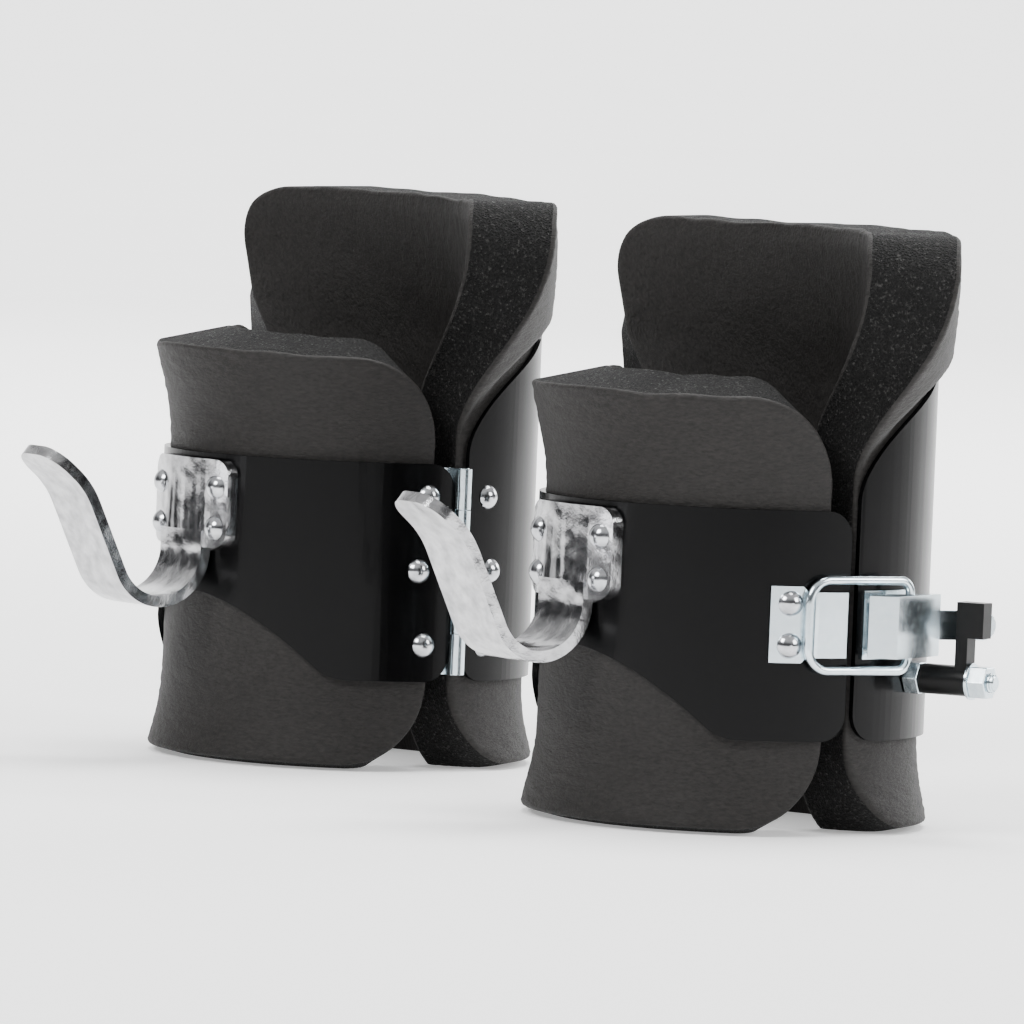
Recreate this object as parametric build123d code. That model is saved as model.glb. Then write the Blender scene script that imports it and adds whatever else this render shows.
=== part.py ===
from build123d import *
import os
from math import asin, cos, degrees, radians, sin, sqrt, tan

# A pair of gravity boots: padded steel ankle cuffs with a bar hook, a butt hinge and a toggle latch.
# One boot is modelled about its own upright axis, with the hook towards -Y, the hinge at -X, the
# latch at +X and Z = 0 at the lower edge of its shells. The other boot is its mirror image.
# Lengths are millimetres, angles are degrees. A polar place is (radius, angle, height), where the
# angle is measured about the boot's axis from the front (-Y) towards the latch (+X).

# ---- Driving dimensions ---------------------------------------------------------------------
boot_spacing = 226.0           # between the two boots' axes

# Steel shells
shell_radius = 64.0            # outside
shell_wall = 2.0
front_shell_height = 73.8
rear_shell_side_height = 76.0
rear_shell_back_height = 119.0
rim_sweep = ((0.055, 0.25), (0.30, 0.59), (0.58, 0.83))   # rim points, as shares of depth and rise
rim_back_slope = 0.12
shell_corner_radius = 9.0
arch_rise = 27.0               # instep arch under the hook
arch_radius = 60.0
arch_corner_radius = 8.0
hinge_seam = 5.7               # gap between the shells' edges
latch_seam = 3.2

# Foam liners
foam_thickness = 26.0
foam_flare_angle = 13.3
foam_bend_radius = 90.0        # of the sheet's middle, where it flares
foam_corner_radius = 32.0
foam_end_trim = 1.2
pocket_overrun = 8.0           # angle that the hinge pockets run past the seam
front_foam_rise = 34.7         # outer edge above the front shell
foam_top_slant = 0.6           # share of the slanted top face that the corner cuts leave
foam_skirt = 27.0              # outer edge below the shells
floor_drop = 30.5              # floor below the shells' lower edge
front_foam_half_angle = 84.4
rear_foam_half_angle = 88.0
rear_foam_top = 163.0
rear_foam_open_start = 84.0    # height where the tall back starts to open out
rear_foam_top_half_angle = 40.0
rear_foam_top_back = 51.5      # outer face of the back at its top, behind the axis
rear_foam_top_thickness = 30.0 # not squeezed by the shells
rear_foam_widening = 13.0      # of each half of the sheet, from the shells to its top
rear_foam_widening_end = 0.5   # share of the opening height where it is at its widest
rear_foam_top_corner = 22.0
foam_open_power = 1.5
tongue_sections = (0, 0.25, 0.5, 0.75, 1)   # heights of its lofted sections, as shares

# Bar hook
hook_thickness = 3.8
hook_width = 25.0
hook_throat_radius = 15.5
hook_throat_height = 41.0      # throat centre
hook_lean = 26.0
hook_arm_length = 25.5
hook_flare_turn = 25.0
hook_flare_radius = 30.0
hook_tip_length = 12.0
hook_tip_corner = 9.0
hook_plate_half_angle = 19.0
hook_blank_half_angle = 24.0   # before its corners are cut
hook_plate_top = 72.0
hook_plate_bottom = 42.0
hook_plate_corner = 5.5
hook_rivet_angle = 14.4
hook_rivet_heights = (48.7, 62.5)

# Rivets
rivet_head = 8.2
rivet_head_height = 2.5
rivet_shank = 4.0

# Butt hinge
hinge_mid_height = 37.5
hinge_length = 70.0
knuckle_count = 5
knuckle_gap = 0.3
barrel_diameter = 4.9
hinge_pin_diameter = 2.5
hinge_axis_lift = 1.7          # of the pin's axis outside the shell's face
leaf_thickness = 1.4
leaf_width = 21.0              # along the shell
leaf_seam_gap = 0.3            # between the leaf's web and the shell's edge
hinge_rivet_pitch = 25.1
hinge_rivet_reach_ends = 12.5  # from the pin, along the shell
hinge_rivet_reach_middle = 15.4
leaf_end_relief = 0.5

# Latch, all at one height
latch_height = 37.5
plate_thickness = 1.2          # pressed steel of the strike, base and lever
strike_start = 65.0
strike_step = 77.9
strike_end = 88.2
strike_height = 24.5
strike_flap_height = 21.0
strike_lift = 0.9              # of the flap over the plate
strike_chamfer = 4.0
notch_length = 10.0            # of the cutter for that chamfer
strike_tail = 3.0              # angle that the raised step laps under the plate
strike_rivet_angle = 70.8
strike_rivet_pitch = 13.5
wire_diameter = 3.0
bail_height = 29.0             # between the wire's centres
bail_loop_radius = 7.5
bail_end_radius = 4.0
bail_step_gap = 1.0            # between the bar and the strike's step
bail_bar_lift = 0.45           # between the bar and the strike plate
bail_pivot_place = (7.3, 107.0)    # height above the shell and angle, on the closed lever
toggle_length = 11.0           # lever pivot to bail pivot
toggle_over_centre = 1.15
lever_pin_diameter = 3.0
lever_height = 20.0
lever_nose = (8.0, 91.6)       # heights above the shell and angles of the lever's outer face
lever_crest = (14.0, 97.2)
lever_heel = (11.0, 117.5)
lever_cheek_depth = 6.6
lever_cheek_heel_share = 0.45   # of the cheek's depth, at the heel
lever_cheek_wire_share = 0.8   # of the wire's diameter, kept under the bail's pivot
lever_cheek_pivot_inset = 0.4  # of the cheek's edge, inside the base's ear
lever_tip_flat = 0.1           # left on the tab's rounded end
tab_length = 19.3
tab_lift = 40.0                # outward bend of the finger tab
tab_height = 9.5
base_start = 94.5
base_end = 115.5
base_height = 22.0
base_ear_radius = 3.0
base_ear_half_foot = 5.0
base_rivet_angle = 111.5
base_rivet_pitch = 9.0
base_rivet_head = 6.0
base_rivet_head_height = 1.8

# Safety catch on its bolt
catch_angle = 118.5
catch_height = 20.0
bolt_diameter = 6.0
bolt_reach = 31.0              # of its end beyond the shell
bolt_head_diameter = 12.0
bolt_head_height = 2.0
nut_across_flats = 10.0
base_nut_height = 5.2
sleeve_diameter = 9.8
sleeve_length = 12.0
arm_thickness = 4.2
arm_width = 6.6
arm_rise = 25.5                # top of the arm above the bolt
catch_block_depth = 5.3
catch_block_height = 11.5
washer_diameter = 12.0
washer_thickness = 1.0
lock_nut_height = 6.0

# Fits and clearances
running_clearance = 0.05       # radial, pin in its hole
seat_gap = 0.1                 # between riveted curved faces
glue_line = 0.2                # foam to shell
foam_relief = 0.4              # foam to the parts that it covers
end_float = 0.25               # along a pin or the catch's bolt

# ---- Derived places -------------------------------------------------------------------------
shell_bore = shell_radius - shell_wall
foam_outer = shell_bore - glue_line
foam_middle = foam_outer - foam_thickness / 2
corner_clear = foam_outer - foam_thickness - foam_end_trim   # keeps the corner cuts off the end faces
seat_radius = shell_radius + seat_gap
hook_face = seat_radius + hook_thickness
plate_face = seat_radius + plate_thickness
front_foam_top = front_shell_height + front_foam_rise
leaf_face = shell_bore - seat_gap
leaf_back = leaf_face - leaf_thickness
far = 400.0                    # larger than the object, for cutting tools


def polar(radius, angle):
    """Plan position of a polar place."""
    return Vector(radius * sin(radians(angle)), -radius * cos(radians(angle)), 0)


def over_shell(place):
    """Plan position of a (height above the shell, angle) place."""
    lift, angle = place
    return polar(shell_radius + lift, angle)


def radial(radius, angle, height):
    """Location at a polar place with its Z axis pointing straight out and its Y axis up."""
    point = polar(radius, angle) + Vector(0, 0, height)
    outward = polar(1, angle)
    return Plane(origin=point, x_dir=Vector(0, 0, 1).cross(outward), z_dir=outward).location


hinge_seam_angle = degrees(asin(hinge_seam / shell_radius))
hinge_radius = shell_radius + hinge_axis_lift
hinge_axis = Vector(-sqrt(hinge_radius**2 - (hinge_seam / 2) ** 2), hinge_seam / 2, 0)
hinge_bottom = hinge_mid_height - hinge_length / 2
knuckle_pitch = hinge_length / knuckle_count

bar_radius = plate_face + bail_bar_lift + wire_diameter / 2
bar_reach = degrees((wire_diameter / 2 + bail_step_gap) / bar_radius)
bail_bar = polar(bar_radius, strike_step - bar_reach)
bail_pivot = over_shell(bail_pivot_place)
bail_length = (bail_pivot - bail_bar).length
bail_line = (bail_pivot - bail_bar).normalized()
bail_out = Vector(bail_line.Y, -bail_line.X, 0)
lever_pivot = (
    bail_pivot
    - bail_line * sqrt(toggle_length**2 - toggle_over_centre**2)
    + bail_out * toggle_over_centre
)
nose_point, crest_point, heel_point = (over_shell(p) for p in (lever_nose, lever_crest, lever_heel))
lever_line = (heel_point - crest_point).normalized()
tab_line = lever_line.rotate(Axis.Z, -tab_lift)
tab_point = heel_point + tab_line * tab_length

nut_seat = seat_radius
bolt_bore = bolt_diameter + 2 * running_clearance
bolt_head_back = sqrt(shell_bore**2 - (bolt_head_diameter / 2) ** 2) - seat_gap - bolt_head_height
sleeve_start = nut_seat + base_nut_height + end_float
arm_start = sleeve_start + sleeve_length
arm_face = arm_start + arm_thickness
washer_seat = arm_face + end_float
lock_nut_seat = washer_seat + washer_thickness

hook_centre = Vector(0, -(hook_face + hook_throat_radius), hook_throat_height)


# ---- Helpers --------------------------------------------------------------------------------
def rod(radius, angle, height, diameter, length):
    """Round bar that starts at a polar place and points outwards."""
    start_at_base = (Align.CENTER, Align.CENTER, Align.MIN)
    return radial(radius, angle, height) * Cylinder(diameter / 2, length, align=start_at_base)


def upright(point, diameter, bottom, top):
    """Upright round bar at a plan position."""
    start_at_base = (Align.CENTER, Align.CENTER, Align.MIN)
    return Pos(point.X, point.Y, bottom) * Cylinder(diameter / 2, top - bottom, align=start_at_base)


def sector(inner, outer, start, end, bottom, top):
    """Upright piece of a tube wall between two angles."""
    ring = Circle(outer) - Circle(inner)
    reach = outer / cos(radians((end - start) / 4)) * 1.2
    middle = (start + end) / 2
    corners = [polar(reach, angle) for angle in (start, middle, end)]
    wedge = make_face(Polyline(Vector(0, 0, 0), *corners, close=True))
    return Pos(0, 0, bottom) * extrude(ring & wedge, top - bottom)


def front_view(outline):
    """Solid that has an XZ outline and runs through the whole boot along Y."""
    return extrude(Plane.XZ * outline, far, both=True)


def side_view(outline, start=-far, end=far):
    """Solid that has a YZ outline, drawn as (Y, Z), between two X positions."""
    return extrude(Plane.YZ.offset(start) * outline, end - start)


def rivet(seat, angle, height, back, head=rivet_head, head_height=rivet_head_height):
    """Dome-headed rivet with its head on a seat radius and its tail flush at a back radius."""
    dome_radius = (head**2 / 4 + head_height**2) / (2 * head_height)
    above = Cylinder(head, 2 * head_height, align=(Align.CENTER, Align.CENTER, Align.MIN))
    dome = Pos(0, 0, head_height - dome_radius) * Sphere(dome_radius) & above
    shank = Cylinder(rivet_shank / 2, seat - back, align=(Align.CENTER, Align.CENTER, Align.MAX))
    body = dome + shank
    return radial(seat, angle, height) * body


def rivet_group(seat, back, places, **sizes):
    """Group of rivets at (angle, height) places."""
    return Compound(children=[rivet(seat, angle, height, back, **sizes) for angle, height in places])


def rivet_holes(places):
    """Drills through the shells and what is riveted to them."""
    drills = [
        rod(leaf_back - 1, angle, height, rivet_shank + 2 * running_clearance, hook_face - leaf_back + 2)
        for angle, height in places
    ]
    return Compound(children=drills)


def strip(points, thickness):
    """Upright sheet section of a thickness that lies inside a row of plan points."""
    inner = []
    for index, point in enumerate(points):
        before = (point - points[index - 1]).normalized() if index else None
        after = (points[index + 1] - point).normalized() if index + 1 < len(points) else None
        first, last = before or after, after or before
        middle = (first + last).normalized()
        inward = Vector(-middle.Y, middle.X, 0)
        inner.append(point + inward * (thickness / (inward.dot(Vector(-last.Y, last.X, 0)))))
    return make_face(Polyline(*points, *reversed(inner), close=True))


# ---- Rivet places ---------------------------------------------------------------------------
hook_rivets = [(side * hook_rivet_angle, z) for side in (-1, 1) for z in hook_rivet_heights]
strike_rivets = [(strike_rivet_angle, latch_height + side * strike_rivet_pitch / 2) for side in (-1, 1)]
base_rivets = [(base_rivet_angle, latch_height + side * base_rivet_pitch / 2) for side in (-1, 1)]


def hinge_rivets(side):
    """Three staggered rivets of one leaf: side is 1 on the front leaf and -1 on the rear leaf."""
    pin_angle = -90 - hinge_seam_angle / 2
    places = []
    for step in (-1, 0, 1):
        reach = hinge_rivet_reach_ends if step else hinge_rivet_reach_middle
        places.append((pin_angle + side * degrees(reach / shell_radius),
                       hinge_mid_height + step * hinge_rivet_pitch))
    return places


# ---- Shells ---------------------------------------------------------------------------------
def front_shell():
    """Front half shell with its instep arch."""
    plan = sector(shell_bore, shell_radius, -90, 90, 0, front_shell_height)
    blank = Rectangle(2 * far, front_shell_height, align=(Align.CENTER, Align.MIN))
    arched = blank - Pos(0, arch_rise - arch_radius) * Circle(arch_radius)
    arch_foot = sqrt(arch_radius**2 - (arch_radius - arch_rise) ** 2)
    feet = [v for v in arched.vertices() if abs(abs(v.X) - arch_foot) < 0.1 and abs(v.Y) < 0.1]
    arched = fillet(feet, arch_corner_radius)
    side = Rectangle(far, front_shell_height, align=(Align.MAX, Align.MIN))
    side = fillet([v for v in side.vertices() if v.X > -1], shell_corner_radius)
    shell = plan & front_view(arched) & side_view(side)
    return shell - rivet_holes(hook_rivets + strike_rivets + hinge_rivets(1))


def rear_outline(seam, extra=0.0):
    """Side outline of the rear shell: a low front edge that sweeps up to the high back."""
    side_top = rear_shell_side_height + extra
    back_top = rear_shell_back_height + extra
    rise = back_top - side_top
    depth = shell_radius
    sweep = Spline(
        (seam, side_top),
        *((seam + back * depth, side_top + up * rise) for back, up in rim_sweep),
        (seam + depth, back_top),
        tangents=[(0, 1), (1, rim_back_slope)],
    )
    edge = Polyline((seam + depth, back_top), (far, back_top), (far, 0), (seam, 0), (seam, side_top))
    outline = make_face(sweep + edge)
    return fillet([v for v in outline.vertices() if abs(v.X - seam) < 0.1 and v.Y < 1], shell_corner_radius)


def rear_halves(extra=0.0):
    """Solid under the rear shell's rim: its two sides start at different seams."""
    hinge_half = side_view(rear_outline(hinge_seam, extra), -far, 0)
    latch_half = side_view(rear_outline(latch_seam, extra), 0, far)
    return hinge_half + latch_half


def rear_shell():
    """Rear half shell with its high back."""
    plan = sector(shell_bore, shell_radius, 90, 270, 0, rear_shell_back_height)
    drills = rivet_holes(base_rivets + hinge_rivets(-1))
    bolt_hole = rod(leaf_back, catch_angle, catch_height, bolt_bore, seat_radius - leaf_back + shell_wall)
    return (plan & rear_halves()) - drills - bolt_hole


# ---- Foam liners ----------------------------------------------------------------------------
def foam_section(straight_top, flared):
    """Radial section of the foam sheet: it flares below the shells, and above them if asked."""
    bend = foam_bend_radius * tan(radians(foam_flare_angle / 2))
    slope = tan(radians(foam_flare_angle))
    edge_drop = foam_thickness / 2 * sin(radians(foam_flare_angle))
    low_end = -foam_skirt - edge_drop
    points = [(foam_middle + slope * (-bend - low_end), low_end), (foam_middle, -bend)]
    if flared:
        high_end = front_foam_top + edge_drop
        start = straight_top + bend
        points += [(foam_middle, start), (foam_middle + slope * (high_end - start), high_end)]
        path = FilletPolyline(*points, radius=foam_bend_radius)
    else:
        points += [(foam_middle, straight_top)]
        path = FilletPolyline(*points, radius=foam_bend_radius)
    return trace(path, foam_thickness)


def leaf_pocket(side):
    """Space that the foam leaves for a hinge leaf and its web."""
    seam_angle = -90 if side > 0 else -90 - hinge_seam_angle
    reach = side * degrees((leaf_width + foam_relief) / leaf_back)
    start, end = sorted((seam_angle - side * pocket_overrun, seam_angle + reach))
    return sector(leaf_back - foam_relief, shell_radius, start, end,
                  hinge_bottom - foam_relief, hinge_bottom + hinge_length + foam_relief)


def corner_cut(end, top, toward):
    """Side outline with large round corners at the sheet's end; toward is the way it runs."""
    bottom = -floor_drop
    sheet = Rectangle(far, top - bottom, align=(Align.MIN if toward > 0 else Align.MAX, Align.MIN))
    sheet = Pos(end, bottom) * sheet
    return fillet([v for v in sheet.vertices() if abs(v.X - end) < 1], foam_corner_radius)


def front_foam():
    """Thick foam lining of the front half, flared above and below the shell."""
    section = foam_section(front_shell_height - shell_wall, True)
    arc = 2 * front_foam_half_angle
    ring = revolve(Plane.XZ * section, Axis.Z, revolution_arc=arc).rotate(Axis.Z, -90 - arc / 2)
    end = -corner_clear * cos(radians(front_foam_half_angle))
    inner_rise = foam_thickness * sin(radians(foam_flare_angle)) * foam_top_slant
    return (ring & side_view(corner_cut(end, front_foam_top + inner_rise, -1))) - leaf_pocket(1)


def open_section(height):
    """Plan section of the tall back, which widens and opens out with height."""
    share = (height - rear_foam_open_start) / (rear_foam_top - rear_foam_open_start)
    opening = sin(radians(90 * share)) ** foam_open_power
    half_angle = rear_foam_half_angle + opening * (rear_foam_top_half_angle - rear_foam_half_angle)
    widening = rear_foam_widening * min(1, share / rear_foam_widening_end)
    half_length = foam_middle * radians(rear_foam_half_angle) + widening
    thickness = foam_thickness + opening * (rear_foam_top_thickness - foam_thickness)
    middle = half_length / radians(half_angle)
    outer = middle + thickness / 2
    inner = middle - thickness / 2
    back = foam_outer + opening * (rear_foam_top_back - foam_outer)
    centre = back - outer
    x_part, y_part = sin(radians(half_angle)), cos(radians(half_angle))
    wire = (
        ThreePointArc((-outer * x_part, outer * y_part), (0, outer), (outer * x_part, outer * y_part))
        + Line((outer * x_part, outer * y_part), (inner * x_part, inner * y_part))
        + ThreePointArc((inner * x_part, inner * y_part), (0, inner), (-inner * x_part, inner * y_part))
        + Line((-inner * x_part, inner * y_part), (-outer * x_part, outer * y_part))
    )
    return Pos(0, centre, height) * make_face(wire)


def rear_foam():
    """Thick foam lining of the rear half; its tall back opens out above the shell."""
    arc = 2 * rear_foam_half_angle
    section = foam_section(rear_foam_open_start, False)
    cuff = revolve(Plane.XZ * section, Axis.Z, revolution_arc=arc).rotate(Axis.Z, 90 - arc / 2)
    heights = [rear_foam_open_start + share * (rear_foam_top - rear_foam_open_start)
               for share in tongue_sections]
    tongue = loft([open_section(height) for height in heights])
    top_half_length = foam_middle * radians(rear_foam_half_angle) + rear_foam_widening
    top_outer = top_half_length / radians(rear_foam_top_half_angle) + rear_foam_top_thickness / 2
    tip_span = 2 * top_outer * sin(radians(rear_foam_top_half_angle))
    tip = Pos(0, rear_foam_top) * Rectangle(tip_span, far, align=(Align.CENTER, Align.MAX))
    tip = fillet([v for v in tip.vertices() if v.Y > 0], rear_foam_top_corner)
    end = corner_clear * cos(radians(rear_foam_half_angle))
    liner = (cuff + tongue) & side_view(corner_cut(end, far, 1)) & front_view(tip)
    around_shell = sector(foam_outer, far / 2, 90, 270, 0, rear_shell_back_height)
    liner = liner - (around_shell & rear_halves(foam_relief)) - leaf_pocket(-1)
    pocket = bolt_head_back - foam_relief
    return liner - rod(pocket, catch_angle, catch_height, bolt_head_diameter + 2 * foam_relief,
                       shell_radius - pocket)


# ---- Bar hook -------------------------------------------------------------------------------
def hook():
    """Strip bent into a J, with a curved plate that is riveted to the front shell."""
    middle = hook_throat_radius + hook_thickness / 2
    neck_top = (hook_centre.Y + middle, hook_plate_bottom + hook_plate_corner)
    arc_start = (hook_centre.Y + middle, hook_throat_height)
    neck = Line(neck_top, arc_start)
    bowl = JernArc(start=arc_start, tangent=(0, -1), radius=middle, arc_size=-(180 - hook_lean))
    arm = Line(bowl @ 1, bowl @ 1 + (bowl % 1) * hook_arm_length)
    flare = JernArc(start=arm @ 1, tangent=arm % 1, radius=hook_flare_radius, arc_size=hook_flare_turn)
    tip = Line(flare @ 1, flare @ 1 + (flare % 1) * hook_tip_length)
    bent = trace(neck + bowl + arm + flare + tip, hook_thickness)
    blade = side_view(bent, -hook_width / 2, hook_width / 2)
    tip_edges = blade.edges().filter_by(GeomType.LINE).filter_by(lambda e: abs(e.tangent_at(0).X) < 0.1)
    tip_edges = tip_edges.sort_by(Axis.Y)[:2]
    blade = fillet(tip_edges, hook_tip_corner)

    plate_width = 2 * hook_face * sin(radians(hook_plate_half_angle))
    plate_height = hook_plate_top - hook_plate_bottom
    face = RectangleRounded(plate_width, plate_height, hook_plate_corner)
    face = Pos(0, (hook_plate_top + hook_plate_bottom) / 2) * face
    stem = Rectangle(hook_width, 2 * hook_plate_corner, align=(Align.CENTER, Align.MIN))
    stem = Pos(0, hook_throat_height) * stem
    shape = face + stem
    plate = sector(seat_radius, hook_face, -hook_blank_half_angle, hook_blank_half_angle,
                   hook_throat_height, hook_plate_top) & front_view(shape)
    neck_stub = Pos(0, hook_centre.Y + middle, hook_throat_height) * Box(
        hook_width, hook_thickness, hook_plate_corner, align=(Align.CENTER, Align.CENTER, Align.MIN))
    return (blade + plate + neck_stub) - rivet_holes(hook_rivets) - Cylinder(seat_radius, far)


# ---- Butt hinge -----------------------------------------------------------------------------
def hinge_leaf(side):
    """One leaf inside its shell: side is 1 for the front leaf and -1 for the rear leaf."""
    first = 0 if side > 0 else 1
    web_low = leaf_seam_gap if side > 0 else hinge_seam - leaf_seam_gap - leaf_thickness
    top = hinge_bottom + hinge_length
    edge_angle = -90 if side > 0 else -90 - hinge_seam_angle
    reach = side * degrees(leaf_width / leaf_back)
    start, end = sorted((edge_angle - side * degrees(leaf_thickness / leaf_back), edge_angle + reach))
    leaf = sector(leaf_back, leaf_face, start, end, hinge_bottom, top)
    web_length = -leaf_back - hinge_axis.X
    web = Pos(-leaf_back, web_low, hinge_bottom) * Box(
        web_length, leaf_thickness, hinge_length, align=(Align.MAX, Align.MIN, Align.MIN))
    leaf = leaf + web
    for index in range(knuckle_count):
        low = hinge_bottom + index * knuckle_pitch
        if index % 2 == first:
            leaf = leaf + upright(hinge_axis, barrel_diameter, low + knuckle_gap / 2,
                                  low + knuckle_pitch - knuckle_gap / 2)
        else:
            leaf = leaf - upright(hinge_axis, barrel_diameter + 2 * leaf_end_relief,
                                  low - knuckle_gap / 2, low + knuckle_pitch + knuckle_gap / 2)
    pin_hole = upright(hinge_axis, hinge_pin_diameter + 2 * running_clearance, -far, far)
    return leaf - pin_hole - rivet_holes(hinge_rivets(side))


def hinge_pin():
    """Plain pin through the knuckles."""
    return upright(hinge_axis, hinge_pin_diameter, hinge_bottom, hinge_bottom + hinge_length)


# ---- Toggle latch ---------------------------------------------------------------------------
def strike_plate():
    """Riveted plate with a raised flap whose step stops the bail's bar."""
    low, high = latch_height - strike_height / 2, latch_height + strike_height / 2
    wall_end = strike_step + degrees(plate_thickness / seat_radius)
    plate = sector(seat_radius, plate_face, strike_start, wall_end, low, high)
    for level in (low, high):
        corner = polar(plate_face, strike_step)
        notch = Pos(corner.X, corner.Y, level) * Rot(0, 0, strike_step - 90) * Rot(45, 0, 0)
        plate = plate - notch * Box(notch_length, strike_chamfer * sqrt(2), strike_chamfer * sqrt(2))
    flap_low, flap_high = latch_height - strike_flap_height / 2, latch_height + strike_flap_height / 2
    lift = seat_radius + strike_lift
    step = sector(seat_radius, lift + plate_thickness, strike_step, wall_end, flap_low, flap_high)
    flap = sector(lift, lift + plate_thickness, strike_step, strike_end, flap_low, flap_high)
    tail = sector(seat_radius, plate_face, strike_step - strike_tail, wall_end, flap_low, flap_high)
    return (plate + tail + step + flap) - rivet_holes(strike_rivets)


def latch_base():
    """Plate on the rear shell with two ears that carry the lever's pin."""
    low, high = latch_height - base_height / 2, latch_height + base_height / 2
    plate = sector(seat_radius, plate_face, base_start, base_end, low, high)
    foot = polar(1, base_start + degrees(base_ear_half_foot / seat_radius))
    along = Vector(-foot.Y, foot.X, 0)
    foot_point = foot * (plate_face - plate_thickness / 2)
    outline = Polyline(
        foot_point - along * base_ear_half_foot, lever_pivot - along * base_ear_radius,
        lever_pivot + along * base_ear_radius, foot_point + along * base_ear_half_foot, close=True)
    ear_shape = make_face(outline) + Pos(lever_pivot.X, lever_pivot.Y) * Circle(base_ear_radius)
    ear_outer = lever_height / 2 - plate_thickness - end_float
    for side in (-1, 1):
        ear_middle = latch_height + side * (ear_outer - plate_thickness / 2)
        ear = Pos(0, 0, ear_middle) * extrude(ear_shape, plate_thickness / 2, both=True)
        plate = plate + (ear - Cylinder(seat_radius, far))
    pin_hole = upright(lever_pivot, lever_pin_diameter + 2 * running_clearance, -far, far)
    return plate - pin_hole - rivet_holes(base_rivets)


def lever_pivot_pin():
    """Pin through the base's ears and the lever's cheeks."""
    reach = lever_height / 2 + end_float
    return upright(lever_pivot, lever_pin_diameter, latch_height - reach, latch_height + reach)


def latch_lever():
    """Pressed lever: a bent web between two cheeks, with a finger tab that lifts off the shell."""
    half = lever_height / 2
    web = extrude(strip([nose_point, crest_point, heel_point], plate_thickness), half, both=True)
    tab = extrude(strip([crest_point + lever_line * bail_length / 2, heel_point, tab_point], plate_thickness),
                  tab_height / 2, both=True)
    tip_edges = tab.edges().filter_by(lambda e: abs(e.tangent_at(0).Z) < 0.1)
    tip_edges = tip_edges.filter_by(lambda e: abs(e.length - plate_thickness) < 0.1)
    tip_edges = tip_edges.sort_by(lambda e: -(e.center() - nose_point).length)[:2]
    tab = fillet(tip_edges, tab_height / 2 - lever_tip_flat)
    inward = Vector(-lever_line.Y, lever_line.X, 0)
    low_heel = heel_point + inward * (lever_cheek_depth * lever_cheek_heel_share)
    low_pivot = lever_pivot + inward * (base_ear_radius - lever_cheek_pivot_inset)
    low_bail = bail_pivot + inward * (wire_diameter * lever_cheek_wire_share)
    cheek_points = (nose_point, crest_point, heel_point, low_heel, low_bail, low_pivot)
    cheek_shape = make_face(Polyline(*cheek_points, close=True))
    body = web + tab
    for side in (-1, 1):
        cheek = extrude(cheek_shape, plate_thickness / 2, both=True)
        body = body + Pos(0, 0, side * (half - plate_thickness / 2)) * cheek
    body = Pos(0, 0, latch_height) * body
    bail_holes = upright(bail_pivot, wire_diameter + 2 * running_clearance, -far, far)
    pin_hole = upright(lever_pivot, lever_pin_diameter + 2 * running_clearance, -far, far)
    return body - bail_holes - pin_hole


def wire_bail():
    """Wire loop: a bar that hooks over the strike, two legs, and two ends in the lever's cheeks."""
    frame = Plane(origin=bail_bar + Vector(0, 0, latch_height), x_dir=bail_line, z_dir=bail_out)
    half = bail_height / 2
    end = lever_height / 2 - plate_thickness - end_float
    corners = [(bail_length, end), (bail_length, half), (0, half), (0, -half), (bail_length, -half),
               (bail_length, -end)]
    route = FilletPolyline(*(frame.from_local_coords(Vector(u, v, 0)) for u, v in corners),
                           radius=[bail_end_radius, bail_loop_radius, bail_loop_radius, bail_end_radius])
    section = Plane(origin=route @ 0, z_dir=route % 0) * Circle(wire_diameter / 2)
    return sweep(section, route)


# ---- Safety catch ---------------------------------------------------------------------------
def hexagon(seat, height):
    """Hexagon nut on the catch's bolt, seated at a radius."""
    blank = extrude(RegularPolygon(nut_across_flats / 2, 6, major_radius=False), height)
    return radial(seat, catch_angle, catch_height) * (blank - Cylinder(bolt_bore / 2, far))


def catch_bolt():
    """Bolt with a low round head under the foam."""
    head = rod(bolt_head_back, catch_angle, catch_height, bolt_head_diameter, bolt_head_height)
    length = shell_radius + bolt_reach - bolt_head_back
    return head + rod(bolt_head_back, catch_angle, catch_height, bolt_diameter, length)


def catch_washer():
    """Plain washer between the catch and its lock nut."""
    ring = Circle(washer_diameter / 2) - Circle(bolt_bore / 2)
    return radial(washer_seat, catch_angle, catch_height) * extrude(ring, washer_thickness)


def safety_catch():
    """Moulded catch: a sleeve on the bolt, an arm, and a block that bars the lever's finger tab."""
    base = (Align.CENTER, Align.CENTER, Align.MIN)
    sleeve = Cylinder(sleeve_diameter / 2, sleeve_length + arm_thickness, align=base)
    arm = Pos(0, 0, sleeve_length) * Box(arm_width, arm_rise, arm_thickness,
                                         align=(Align.CENTER, Align.MIN, Align.MIN))
    block = Pos(0, arm_rise - catch_block_height, sleeve_length + arm_thickness) * Box(
        arm_width, catch_block_height, catch_block_depth, align=(Align.CENTER, Align.MIN, Align.MIN))
    shape = sleeve + arm + block - Cylinder(bolt_bore / 2, far)
    return radial(sleeve_start, catch_angle, catch_height) * shape


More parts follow.
